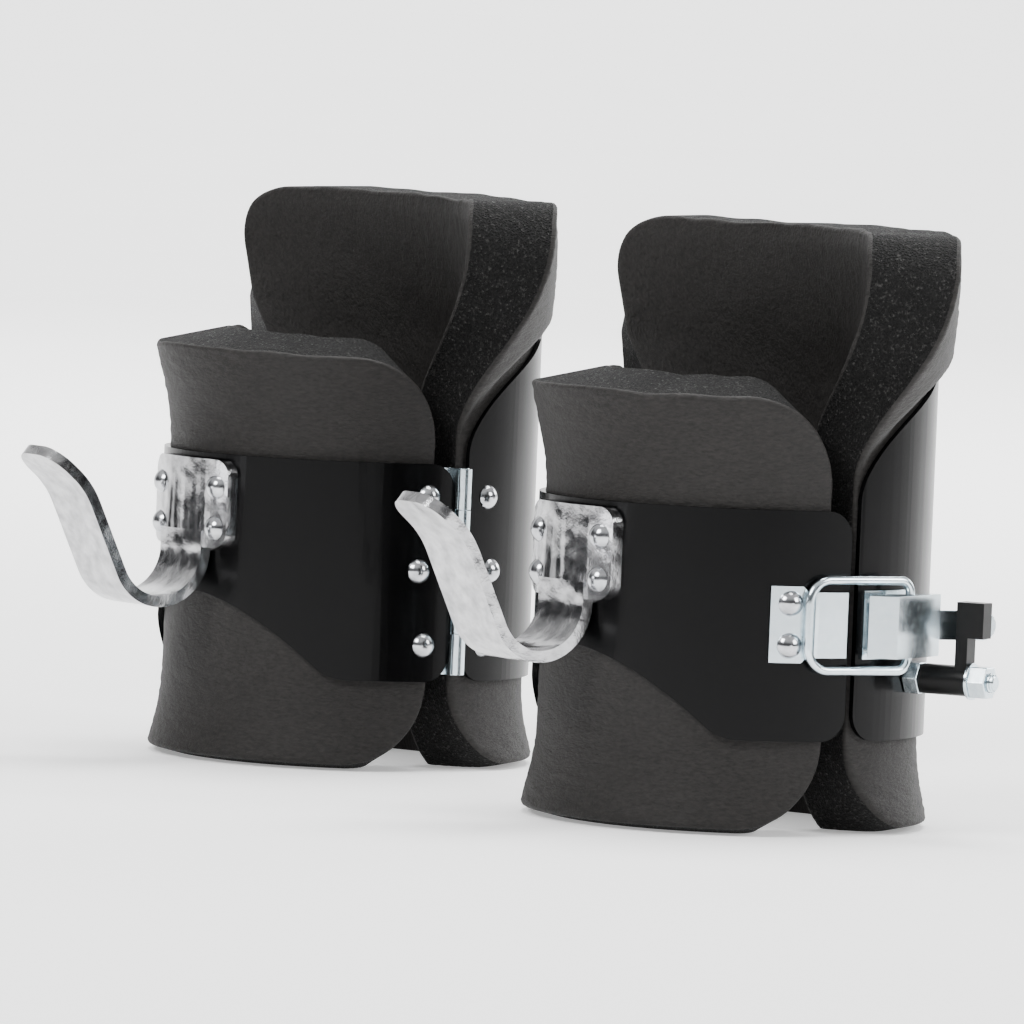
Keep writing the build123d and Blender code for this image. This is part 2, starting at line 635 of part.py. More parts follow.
# ---- The pair -------------------------------------------------------------------------------
def boot():
    """All pieces of the boot whose latch is at +X, by name."""
    return {
        "front_shell": front_shell(),
        "rear_shell": rear_shell(),
        "front_foam": front_foam(),
        "rear_foam": rear_foam(),
        "hook": hook(),
        "hook_rivets": rivet_group(hook_face, shell_bore, hook_rivets),
        "hinge_front_leaf": hinge_leaf(1),
        "hinge_rear_leaf": hinge_leaf(-1),
        "hinge_pin": hinge_pin(),
        "hinge_front_rivets": rivet_group(seat_radius, leaf_back, hinge_rivets(1)),
        "hinge_rear_rivets": rivet_group(seat_radius, leaf_back, hinge_rivets(-1)),
        "strike_plate": strike_plate(),
        "strike_rivets": rivet_group(plate_face, shell_bore, strike_rivets),
        "latch_base": latch_base(),
        "latch_base_rivets": rivet_group(plate_face, shell_bore, base_rivets,
                                         head=base_rivet_head, head_height=base_rivet_head_height),
        "latch_lever": latch_lever(),
        "lever_pivot_pin": lever_pivot_pin(),
        "wire_bail": wire_bail(),
        "safety_catch": safety_catch(),
        "catch_bolt": catch_bolt(),
        "catch_base_nut": hexagon(nut_seat, base_nut_height),
        "catch_washer": catch_washer(),
        "catch_lock_nut": hexagon(lock_nut_seat, lock_nut_height),
    }


def pair():
    """Both boots side by side, standing on Z = 0 with the origin under the middle of their box."""
    right = {name: Pos(boot_spacing / 2, 0, 0) * piece for name, piece in boot().items()}
    boxes = [piece.bounding_box() for piece in right.values()]
    middle = (min(box.min.Y for box in boxes) + max(box.max.Y for box in boxes)) / 2
    pieces = {}
    for name, piece in right.items():
        placed = Pos(0, -middle, floor_drop) * piece
        pieces["right_" + name] = placed
        pieces["left_" + name] = mirror(placed, Plane.YZ)
    return pieces


os.makedirs("parts", exist_ok=True)
for node, piece in pair().items():
    export_step(piece, f"parts/{node}.step")
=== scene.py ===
import logging
import math
from dataclasses import dataclass
from enum import Enum
from typing import Callable, Sequence

import bmesh
import bpy
import numpy as np
from mathutils import Matrix, Vector


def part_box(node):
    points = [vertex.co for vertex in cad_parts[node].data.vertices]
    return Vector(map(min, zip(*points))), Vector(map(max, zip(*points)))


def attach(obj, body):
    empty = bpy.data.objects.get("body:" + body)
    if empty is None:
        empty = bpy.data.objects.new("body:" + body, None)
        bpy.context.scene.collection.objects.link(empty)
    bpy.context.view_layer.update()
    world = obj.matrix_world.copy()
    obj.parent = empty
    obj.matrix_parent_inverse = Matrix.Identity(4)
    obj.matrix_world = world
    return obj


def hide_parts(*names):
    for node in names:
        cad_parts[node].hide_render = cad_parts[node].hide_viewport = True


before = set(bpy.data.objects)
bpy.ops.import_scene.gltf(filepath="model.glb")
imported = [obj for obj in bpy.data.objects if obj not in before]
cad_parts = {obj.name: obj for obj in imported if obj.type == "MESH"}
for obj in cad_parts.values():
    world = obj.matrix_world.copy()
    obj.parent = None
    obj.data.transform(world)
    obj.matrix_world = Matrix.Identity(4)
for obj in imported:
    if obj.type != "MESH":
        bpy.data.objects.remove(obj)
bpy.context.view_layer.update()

MM = 0.001
LOG = logging.getLogger("gravity_boots")
Array = np.ndarray
RIPPLE_WAVES = 28           # sine waves in one field of wrinkles
EDGE_ROWS = 4               # rows of points in the quarter circle of a softened edge
FLAT_ANGLE = math.radians(0.6)
BOLT_CREASE = math.radians(30)


class Slot(Enum):
    """The record's material slots."""

    SHELL = "painted_shell"
    FOAM = "foam"
    HOOK = "plated_hook"
    ZINC = "zinc_hardware"
    PLASTIC = "black_plastic"


class Grain(Enum):
    """Which way the wrinkles of a foam skin run, as cells per metre along and up the sheet."""

    LEVEL = (700.0, 1250.0)
    UPRIGHT = (1350.0, 800.0)


class Face(Enum):
    """The faces of a foam sheet, numbered as their materials."""

    OUTSIDE = 0
    INSIDE = 1
    CUT = 2


# ---- Shader helpers ----
class Value:
    """A number socket of a shader; arithmetic on it adds Math nodes."""

    def __init__(self, book: "NodeBook", socket: bpy.types.NodeSocket) -> None:
        """Wraps an output socket of a material."""
        self.book = book
        self.socket = socket

    def _math(self, operation: str, first: object, second: object) -> "Value":
        """Adds one Math node.

        Args:
            operation: the Math node's operation.
            first: the first input, a number or a Value.
            second: the second input, a number or a Value.

        Returns:
            The node's result.
        """
        return self.book.add("ShaderNodeMath", {"operation": operation}, {0: first, 1: second})

    def __add__(self, other: object) -> "Value":
        """Sum of two values."""
        return self._math("ADD", self, other)

    def __radd__(self, other: object) -> "Value":
        """Sum with a number on the left."""
        return self._math("ADD", other, self)

    def __sub__(self, other: object) -> "Value":
        """Difference of two values."""
        return self._math("SUBTRACT", self, other)

    def __rsub__(self, other: object) -> "Value":
        """Difference from a number on the left."""
        return self._math("SUBTRACT", other, self)

    def __mul__(self, other: object) -> "Value":
        """Product of two values."""
        return self._math("MULTIPLY", self, other)

    def __rmul__(self, other: object) -> "Value":
        """Product with a number on the left."""
        return self._math("MULTIPLY", other, self)

    def above(self, low: float, high: float) -> "Value":
        """Ramp from 0 at low to 1 at high.

        Args:
            low: where the ramp starts.
            high: where the ramp ends.

        Returns:
            The clamped ramp.
        """
        return self.book.add(
            "ShaderNodeMapRange", {"clamp": True}, {"Value": self, "From Min": low, "From Max": high})


class NodeBook:
    """Adds nodes to one material."""

    def __init__(self, name: str) -> None:
        """Starts an empty material.

        Args:
            name: the material's name.
        """
        self.material = bpy.data.materials.new(name)
        self.material.use_nodes = True
        self.tree = self.material.node_tree
        self.tree.nodes.clear()

    def add(self, kind: str, settings: dict, inputs: dict, output: object = 0) -> Value:
        """Adds a node of a type with its settings and its sockets' values or links.

        Args:
            kind: the node's type.
            settings: attributes that are set first.
            inputs: socket name or index to a number, a colour or a Value.
            output: name or index of the output that is returned.

        Returns:
            The wrapped output socket.
        """
        node = self.tree.nodes.new(kind)
        for key, setting in settings.items():
            setattr(node, key, setting)
        for key, given in inputs.items():
            if isinstance(given, Value):
                self.tree.links.new(given.socket, node.inputs[key])
            else:
                node.inputs[key].default_value = given
        return Value(self, node.outputs[output])

    def place(self, stretch: Sequence[float], sheet: bool = False) -> Value:
        """Texture coordinates in metres, stretched on each axis.

        Args:
            stretch: factor on each axis.
            sheet: True for the piece's own UV map, False for Object coordinates.

        Returns:
            The coordinate vector.
        """
        output = "UV" if sheet else "Object"
        where = self.add("ShaderNodeTexCoord", {}, {}, output)
        return self.add("ShaderNodeVectorMath", {"operation": "MULTIPLY"}, {0: where, 1: tuple(stretch)})

    def noise(self, where: Value, scale: float, detail: float = 3.0, roughness: float = 0.55) -> Value:
        """Fractal noise at a place.

        Args:
            where: the coordinate vector.
            scale: cells per unit of the coordinates.
            detail: number of finer layers.
            roughness: share of each finer layer.

        Returns:
            The noise, about 0 to 1.
        """
        return self.add("ShaderNodeTexNoise", {}, {
            "Vector": where, "Scale": scale, "Detail": detail, "Roughness": roughness}, 0)

    def blend(self, share: Value, dark: Sequence[float], light: Sequence[float]) -> Value:
        """Colour between two colours.

        Args:
            share: 0 for dark, 1 for light.
            dark: the first colour.
            light: the second colour.

        Returns:
            The mixed colour.
        """
        return self.add("ShaderNodeMix", {"data_type": "RGBA"}, {
            0: share, 6: (*dark, 1.0), 7: (*light, 1.0)}, 2)

    def bump(self, height: Value, strength: float, distance: float) -> Value:
        """Normal that is bent by a height.

        Args:
            height: the height, without a unit.
            strength: share of the bend that is used.
            distance: metres for one unit of height.

        Returns:
            The bent normal.
        """
        return self.add("ShaderNodeBump", {}, {
            "Height": height, "Strength": strength, "Distance": distance}, 0)

    def finish(self, inputs: dict) -> bpy.types.Material:
        """Adds the surface shader and the output.

        Args:
            inputs: the Principled shader's sockets.

        Returns:
            The finished material.
        """
        shader = self.add("ShaderNodeBsdfPrincipled", {}, inputs)
        node = self.tree.nodes.new("ShaderNodeOutputMaterial")
        self.tree.links.new(shader.socket, node.inputs["Surface"])
        return self.material


# ---- Finishes ----
@dataclass(frozen=True)
class GlossPaint:
    """Black stoved paint: a clear gloss over a faint orange peel, with soft dust in the colour."""

    name: str = "gloss_black_paint"
    dark: tuple = (0.0008, 0.0008, 0.0009)
    light: tuple = (0.0020, 0.0020, 0.0022)
    roughness: float = 0.25
    spread: float = 0.10
    specular: float = 0.11
    coat: float = 0.04
    coat_roughness: float = 0.05
    cloud_scale: float = 45.0
    peel_scale: float = 900.0
    peel_detail: float = 2.0
    peel_strength: float = 0.05
    peel_depth: float = 0.0002

    def material(self) -> bpy.types.Material:
        """The paint as a material."""
        book = NodeBook(self.name)
        where = book.place((1, 1, 1))
        cloud = book.noise(where, self.cloud_scale)
        peel = book.noise(where, self.peel_scale, self.peel_detail)
        return book.finish({
            "Base Color": book.blend(cloud, self.dark, self.light),
            "Roughness": cloud * self.spread + (self.roughness - self.spread / 2),
            "Specular IOR Level": self.specular,
            "Coat Weight": self.coat,
            "Coat Roughness": self.coat_roughness,
            "Normal": book.bump(peel, self.peel_strength, self.peel_depth),
        })


@dataclass(frozen=True)
class FoamSkin:
    """Leathery moulded skin: stretched fine wrinkles over pin pricks and soft tone changes.

    The shares say how much each pattern adds to the height and to the colour; the wrinkle and crease colour
    shares are painted shade, darker in the wrinkles' hollows and creases.
    """

    name: str
    grain: Grain
    depth: float
    dark: tuple = (0.0036, 0.0033, 0.0031)
    light: tuple = (0.0230, 0.0210, 0.0198)
    swirl_scale: float = 0.35
    swirl_pull: float = 0.7
    fine_scale: float = 0.9
    fine_detail: float = 5.0
    fine_roughness: float = 0.62
    fine_ramp: tuple = (0.3, 0.7)
    coarse_scale: float = 0.3
    soft_detail: float = 2.0
    crease_scale: float = 0.55
    furrow_ramp: tuple = (0.0, 0.16)
    tone_scale: float = 30.0
    grit_scale: float = 2600.0
    fine_height: float = 1.4
    coarse_height: float = 0.6
    furrow_height: float = 0.12
    grit_height: float = 0.05
    tone_tint: float = 0.3
    # painted shade: the next two colour shares make the wrinkles' hollows and the creases darker
    wrinkle_painted_shade: float = 0.6
    crease_painted_shade: float = 0.1
    roughness: float = 0.54
    spread: float = 0.14
    specular: float = 0.22
    strength: float = 0.75

    def material(self) -> bpy.types.Material:
        """The skin as a material."""
        book = NodeBook(self.name)
        cells = book.place((*self.grain.value, 1), sheet=True)
        swirl = book.add("ShaderNodeTexNoise", {}, {
            "Vector": cells, "Scale": self.swirl_scale, "Detail": self.soft_detail}, "Color")
        pull = book.add("ShaderNodeVectorMath", {"operation": "SCALE"}, {0: swirl, "Scale": self.swirl_pull})
        bent = book.add("ShaderNodeVectorMath", {"operation": "ADD"}, {0: cells, 1: pull})
        fine = book.noise(bent, self.fine_scale, self.fine_detail, self.fine_roughness)
        coarse = book.add("ShaderNodeTexNoise", {}, {
            "Vector": bent, "Scale": self.coarse_scale, "Detail": self.soft_detail})
        crease = book.add("ShaderNodeTexVoronoi", {"feature": "DISTANCE_TO_EDGE"}, {
            "Vector": bent, "Scale": self.crease_scale})
        where = book.place((1, 1, 1))
        tone = book.noise(where, self.tone_scale)
        grit = book.noise(where, self.grit_scale, self.soft_detail)
        furrow = crease.above(*self.furrow_ramp)
        height = (fine * self.fine_height + coarse * self.coarse_height + furrow * self.furrow_height
                  + grit * self.grit_height)
        # painted shade in the colour: darker in the fine wrinkles' hollows and in the creases, lighter on
        # the crests; the tone share is random tone
        tone_and_painted_light = (tone * self.tone_tint + fine.above(*self.fine_ramp) * self.wrinkle_painted_shade
                + furrow * self.crease_painted_shade)
        return book.finish({
            "Base Color": book.blend(tone_and_painted_light, self.dark, self.light),
            "Roughness": self.roughness + tone * self.spread,
            "Specular IOR Level": self.specular,
            "Normal": book.bump(height, self.strength, self.depth),
        })


@dataclass(frozen=True)
class FoamCut:
    """Saw-cut closed-cell foam: fine open cells, with painted shade in the pores, lighter walls and painted
    glints here and there.
    """

    name: str = "foam_cut_face"
    dark: tuple = (0.0012, 0.0012, 0.0012)
    light: tuple = (0.060, 0.058, 0.056)
    cell_scale: float = 1250.0
    wall_ramp: tuple = (0.30, 0.62)
    rough_scale: float = 1100.0
    rough_detail: float = 4.0
    rough_share: float = 0.7
    patch_scale: float = 190.0
    patch_ramp: tuple = (0.45, 0.7)
    spark_lot: tuple = (0.55, 1.0)
    spark_ramp: tuple = (0.47, 0.66)
    # painted light shares of the colour: shade in the pores and glints in the spark cells
    pore_painted_shade: float = 0.05
    painted_glint_tint: float = 0.85
    patch_tint: float = 0.03
    wall_height: float = 0.8
    rough_height: float = 1.1
    lot_height: float = 0.5
    roughness: float = 0.78
    spark_gloss: float = 0.42
    specular: float = 0.20
    strength: float = 1.0
    depth: float = 0.0009

    def material(self) -> bpy.types.Material:
        """The cut face as a material."""
        book = NodeBook(self.name)
        where = book.place((1, 1, 1))
        settings, inputs = {"feature": "F1"}, {"Vector": where, "Scale": self.cell_scale}
        cells = book.add("ShaderNodeTexVoronoi", settings, inputs)
        draw = book.add("ShaderNodeTexVoronoi", settings, inputs, "Color")
        lot = book.add("ShaderNodeSeparateColor", {}, {0: draw})
        rough = book.noise(where, self.rough_scale, self.rough_detail, self.rough_share)
        patch = book.noise(where, self.patch_scale)
        wall = cells.above(*self.wall_ramp)
        spark = lot.above(*self.spark_lot) * rough.above(*self.spark_ramp)
        # painted light in the colour: pores shaded darker than their walls and painted glints in the spark
        # cells; the patch share is random tone
        tone_and_painted_light = (wall * self.pore_painted_shade + spark * self.painted_glint_tint
                + patch.above(*self.patch_ramp) * self.patch_tint)
        height = wall * self.wall_height + rough * self.rough_height + lot * self.lot_height
        return book.finish({
            "Base Color": book.blend(tone_and_painted_light, self.dark, self.light),
            "Roughness": self.roughness - spark * self.spark_gloss,
            "Specular IOR Level": self.specular,
            "Normal": book.bump(height, self.strength, self.depth),
        })


@dataclass(frozen=True)
class Plating:
    """Plated steel: mottled gloss with faint bumps from the pressing under it."""

    name: str
    dark: tuple
    light: tuple
    roughness: float
    spread: float
    mottle: float
    wave: float
    relief: float
    mottle_detail: float = 4.0
    tint_ramp: tuple = (0.3, 0.7)
    gloss_ramp: tuple = (0.25, 0.75)
    grit_scale: float = 1500.0
    soft_detail: float = 2.0
    mottle_height: float = 0.12
    grit_height: float = 0.02

    def material(self) -> bpy.types.Material:
        """The plating as a material."""
        book = NodeBook(self.name)
        where = book.place((1, 1, 1))
        cloud = book.noise(where, self.mottle, self.mottle_detail)
        dents = book.noise(where, self.wave, self.soft_detail)
        grit = book.noise(where, self.grit_scale, self.soft_detail)
        gloss = cloud.above(*self.gloss_ramp)
        height = dents + cloud * self.mottle_height + grit * self.grit_height
        return book.finish({
            "Base Color": book.blend(cloud.above(*self.tint_ramp), self.dark, self.light),
            "Metallic": 1.0,
            "Roughness": gloss * self.spread + (self.roughness - self.spread / 2),
            "Normal": book.bump(height, 1.0, self.relief),
        })


@dataclass(frozen=True)
class MouldedPlastic:
    """Black moulded plastic with a fine spark-eroded texture."""

    name: str = "black_moulded_plastic"
    dark: tuple = (0.0025, 0.0025, 0.0025)
    light: tuple = (0.006, 0.006, 0.006)
    roughness: float = 0.30
    spread: float = 0.12
    specular: float = 0.18
    cloud_scale: float = 220.0
    texture_scale: float = 2500.0
    texture_strength: float = 0.12
    texture_depth: float = 0.0002

    def material(self) -> bpy.types.Material:
        """The plastic as a material."""
        book = NodeBook(self.name)
        where = book.place((1, 1, 1))
        cloud = book.noise(where, self.cloud_scale)
        texture = book.noise(where, self.texture_scale)
        return book.finish({
            "Base Color": book.blend(cloud, self.dark, self.light),
            "Roughness": self.roughness + cloud * self.spread,
            "Specular IOR Level": self.specular,
            "Normal": book.bump(texture, self.texture_strength, self.texture_depth),
        })


# ---- Meshes ----
def link_new(name: str, data: bpy.types.ID) -> bpy.types.Object:
    """Makes an object and links it to the scene.

    Args:
        name: the object's name.
        data: its mesh, light or camera.

    Returns:
        The object, at the origin.
    """
    made = bpy.data.objects.new(name, data)
    bpy.context.scene.collection.objects.link(made)
    return made


@dataclass
class Surface:
    """Vertices, quads, UV places and material numbers that become one mesh."""

    points: Array
    quads: Array
    sheet: Array
    inks: Array

    def make(self, name: str, materials: Sequence[bpy.types.Material]) -> bpy.types.Object:
        """Makes the object: doubles are merged and the faces turned outwards.

        Args:
            name: the object's name.
            materials: one for each material number.

        Returns:
            The linked object, at the origin.
        """
        mesh = bpy.data.meshes.new(name)
        mesh.from_pydata(self.points.tolist(), [], self.quads.tolist())
        for material in materials:
            mesh.materials.append(material)
        mesh.polygons.foreach_set("material_index", self.inks.astype(np.int32))
        layer = mesh.uv_layers.new(name="sheet")
        corner = np.empty(len(mesh.loops), np.int32)
        mesh.loops.foreach_get("vertex_index", corner)
        layer.data.foreach_set("uv", self.sheet[corner].astype(np.float32).ravel())
        work = bmesh.new()
        work.from_mesh(mesh)
        bmesh.ops.remove_doubles(work, verts=work.verts, dist=1e-6)
        bmesh.ops.recalc_face_normals(work, faces=work.faces)
        work.to_mesh(mesh)
        work.free()
        mesh.polygons.foreach_set("use_smooth", np.ones(len(mesh.polygons), bool))
        return link_new(name, mesh)


def grid_quads(index: Array) -> Array:
    """Quads between the neighbouring rows and columns of a grid.

    Args:
        index: vertex numbers in rows and columns.

    Returns:
        Four vertex numbers for each quad.
    """
    corners = (index[:-1, :-1], index[:-1, 1:], index[1:, 1:], index[1:, :-1])
    return np.stack([corner.ravel() for corner in corners], 1)


def ripple(across: Array, along: Array, wave: tuple, seed: int) -> Array:
    """Soft wrinkles: a sum of sine waves with seeded directions, lengths near wave and phases.

    Args:
        across: place across the sheet, in metres.
        along: place up the sheet, in metres.
        wave: usual wave length across and along, in metres.
        seed: seed of the random draws.

    Returns:
        Heights of about -1 to 1.
    """
    draw = np.random.default_rng(seed)
    total = np.zeros_like(across)
    for _ in range(RIPPLE_WAVES):
        turn, size, phase = draw.uniform(-1, 1, 3)
        stretch = 2.0 ** size
        total += np.sin(2 * math.pi * stretch * (turn * across / wave[0]
                        + math.sqrt(1 - turn * turn) * along / wave[1]) + phase * math.pi)
    return total / math.sqrt(RIPPLE_WAVES)


@dataclass
class Slab:
    """A sheet of a thickness with a rounded outline and softened edges, mapped into space.

    The flat sheet has rows at heights; each row runs from -half to +half width. Its two faces are
    grids of rows times columns, set in from the outline by the edge radius, and its rim is the
    outline carried round a profile: a quarter circle, the cut face, and a quarter circle back.
    """

    heights: Array
    halves: Array
    thickness: float
    edge: float
    columns: int
    cut_rows: int = 14

    def profile(self) -> Array:
        """Section of the rim.

        Returns:
            Rows of (distance out from the faces' outline, depth from the outer face).
        """
        turn = np.linspace(0, math.pi / 2, EDGE_ROWS)
        first = np.stack([self.edge * np.sin(turn), self.edge * (1 - np.cos(turn))], 1)
        straight = np.linspace(self.edge, self.thickness - self.edge, self.cut_rows)[1:-1]
        middle = np.stack([np.full_like(straight, self.edge), straight], 1)
        last = first[::-1] * (1, -1) + (0, self.thickness)
        return np.concatenate([first, middle, last])

    def rim_faces(self, shape: tuple) -> Array:
        """Face number of each strip of the rim: the softened edges belong to the faces they meet.

        Args:
            shape: rows and columns of the rim's points.

        Returns:
            Face numbers, one row shorter than the points.
        """
        numbers = np.full(shape, Face.CUT.value)
        numbers[:EDGE_ROWS - 1] = Face.OUTSIDE.value
        numbers[-EDGE_ROWS:] = Face.INSIDE.value
        return numbers[:-1]

    def faces(self, place: Callable[[Array, Array, Array, Face], Array]) -> Surface:
        """Builds the closed surface.

        Args:
            place: maps (across, height, depth from the outer face, face) to points.

        Returns:
            The surface, with the face's number as material number.
        """
        share = np.linspace(-1, 1, self.columns)
        across = self.halves[:, None] * share[None, :]
        height = np.repeat(self.heights[:, None], self.columns, 1)
        flat = np.zeros_like(across)
        index = np.arange(across.size).reshape(across.shape)
        outside = place(across, height, flat, Face.OUTSIDE).reshape(-1, 3)
        inside = place(across, height, flat + self.thickness, Face.INSIDE).reshape(-1, 3)

        loop = np.concatenate([index[0, :-1], index[:-1, -1], index[-1, :0:-1], index[:0:-1, 0]])
        ring = np.stack([across.ravel()[loop], height.ravel()[loop]], 1)
        ahead = np.roll(ring, -1, 0) - np.roll(ring, 1, 0)
        ahead /= np.linalg.norm(ahead, axis=1)[:, None] + 1e-12
        outward = np.stack([ahead[:, 1], -ahead[:, 0]], 1)
        profile = self.profile()
        rim_across = ring[None, :, 0] + profile[:, None, 0] * outward[None, :, 0]
        rim_height = ring[None, :, 1] + profile[:, None, 0] * outward[None, :, 1]
        rim_depth = np.repeat(profile[:, 1][:, None], len(loop), 1)
        rim = place(rim_across, rim_height, rim_depth, Face.CUT)
        rim[0], rim[-1] = outside[loop], inside[loop]
        rim_index = np.arange(rim_across.size).reshape(rim_across.shape) + 2 * index.size
        wrapped = np.concatenate([rim_index, rim_index[:, :1]], 1)

        quads = grid_quads(index)
        every = np.concatenate([quads, quads[:, ::-1] + index.size, grid_quads(wrapped)])
        inks = np.concatenate([np.repeat([Face.OUTSIDE.value, Face.INSIDE.value], len(quads)),
                               self.rim_faces(rim_across.shape).ravel()])
        sheet = np.stack([np.concatenate([across.ravel(), across.ravel(), rim_across.ravel()]),
                          np.concatenate([height.ravel(), height.ravel(), rim_height.ravel()])], 1)
        return Surface(np.concatenate([outside, inside, rim.reshape(-1, 3)]), every, sheet, inks)


def rounded_rows(low: float, high: float, half: float, low_corner: tuple, high_corner: tuple,
                 step: float) -> tuple:
    """Rows of a rectangle whose corners are quarter ellipses.

    Args:
        low: lowest height.
        high: highest height.
        half: half width.
        low_corner: (width, height) of the low corners.
        high_corner: (width, height) of the high corners.
        step: usual distance between rows.

    Returns:
        Heights and half widths of the rows.
    """
    least, crowding = 6, 1.3

    def corner(size: tuple) -> Array:
        """Quarter circle angles for a corner."""
        return np.linspace(0, math.pi / 2, max(least, int(crowding * size[1] / step)))

    down, up = corner(low_corner), corner(high_corner)[::-1]
    straight = np.arange(low + low_corner[1] + step, high - high_corner[1] - step / 2, step)
    heights = np.concatenate([low + low_corner[1] * (1 - np.cos(down)), straight,
                              high - high_corner[1] * (1 - np.cos(up))])
    halves = np.concatenate([half - low_corner[0] * (1 - np.sin(down)), np.full(len(straight), half),
                             half - high_corner[0] * (1 - np.sin(up))])
    return heights, halves


# ---- One boot's own frame ----
@dataclass
class BootFrame:
    """Where one boot stands, read from its CAD nodes. Local X points to the latch, -Y to the hook."""

    side: str

    def __post_init__(self) -> None:
        """Reads the shells' boxes."""
        low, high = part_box(self.own("front_shell"))
        rear_low, rear_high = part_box(self.own("rear_shell"))
        self.centre = Vector(((low.x + high.x) / 2, high.y, low.z))
        self.radius = (high.x - low.x) / 2
        self.front_top = high.z - low.z
        self.rear_top = rear_high.z - low.z
        self.seam = rear_low.y - high.y
        self.mirror = 1.0 if self.side == "right" else -1.0

    def own(self, name: str) -> str:
        """Name of this boot's CAD node or moving body."""
        return f"{self.side}_{name}"

    def world(self, x: Array, y: Array, z: Array) -> Array:
        """Points in the shared frame.

        Args:
            x: places towards the latch, in metres.
            y: places towards the back, in metres.
            z: heights above the front shell's lower edge, in metres.

        Returns:
            The points, with their coordinates on the last axis.
        """
        return np.stack([self.centre.x + self.mirror * x, self.centre.y + y, self.centre.z + z], -1)

    def adopt(self, piece: bpy.types.Object, part: str, body: str, slot: Slot) -> None:
        """Puts a piece in place of a CAD node on its body.

        Args:
            piece: the new piece.
            part: the CAD part that it replaces.
            body: the body that it rides on.
            slot: the material slot of its finish; not used.
        """
        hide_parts(self.own(part))
        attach(piece, self.own(body))
        LOG.info("%s: %d faces", piece.name, len(piece.data.polygons))


# ---- Foam liners ----
@dataclass
class FoamSheet:
    """What both liners share: a thick sheet bent round the ankle that flares past the shells."""

    boot: BootFrame
    finishes: Sequence[bpy.types.Material]
    thickness: float = 26.0 * MM
    glue_line: float = 0.2 * MM
    shell_wall: float = 2.0 * MM
    flare_radius: float = 90.0 * MM
    flare_slope: float = 0.2364
    low_end: float = -30.0 * MM
    edge: float = 1.3 * MM
    step: float = 1.4 * MM
    ragged_depth: float = 30.0 * MM
    ragged_rise: float = 0.45 * MM
    ragged_wave: float = 26.0 * MM
    flare_gap: float = 1.0 * MM
    cut_wave: tuple = (2.6 * MM, 2.6 * MM)
    cut_depth: float = 0.10 * MM
    outside_wave: tuple = (9.0 * MM, 4.0 * MM)
    inside_wave: tuple = (4.5 * MM, 11.0 * MM)
    wrinkle_depth: float = 0.11 * MM
    swell_wave: tuple = (48 * MM, 40 * MM)
    swell_depth: float = 0.35 * MM
    outside_swell: float = 0.25
    swell_seed: int = 7

    def __post_init__(self) -> None:
        """Works out the sheet's middle radius."""
        self.bore = self.boot.radius - self.shell_wall
        self.outer = self.bore - self.glue_line
        self.middle = self.outer - self.thickness / 2

    def flare(self, past: Array) -> tuple:
        """Rise of the sheet's middle past a point, and its slope: a parabola, then a straight line.

        Args:
            past: distance past the start of the flare.

        Returns:
            The rise and the slope.
        """
        run = np.clip(past, 0, None)
        bend = self.flare_radius * self.flare_slope
        curve = np.minimum(run, bend)
        rise = curve**2 / (2 * self.flare_radius) + self.flare_slope * (run - curve)
        return rise, curve / self.flare_radius

    def wrinkles(self, across: Array, height: Array, face: Face, seed: int) -> Array:
        """Relief of the skin: level wrinkles outside, upright ones inside, and fine grit on the cuts.

        Args:
            across: place across the sheet, in metres.
            height: place up the sheet, in metres.
            face: which face the places are on.
            seed: seed of the random draws.

        Returns:
            Heights above the smooth skin, in metres.
        """
        if face is Face.CUT:
            return self.cut_depth * ripple(across, height, self.cut_wave, seed)
        outside = face is Face.OUTSIDE
        swell = self.swell_depth * ripple(across, height, self.swell_wave, seed + self.swell_seed)
        fine = self.wrinkle_depth * ripple(
            across, height, self.outside_wave if outside else self.inside_wave, seed)
        return fine + (self.outside_swell * swell if outside else swell)

    def ragged(self, across: Array, height: Array, top: float, seed: int) -> Array:
        """Rise of the hand-cut top edge, which fades out below the sheet's top.

        Args:
            across: place across the sheet, in metres.
            height: place up the sheet, in metres.
            top: the sheet's top, in metres.
            seed: seed of the random draws.

        Returns:
            Rises, in metres.
        """
        fade = np.clip((height - top + self.ragged_depth) / self.ragged_depth, 0, 1)
        wave = (self.ragged_wave, self.ragged_wave)
        return self.ragged_rise * fade * ripple(across, np.zeros_like(across), wave, seed)


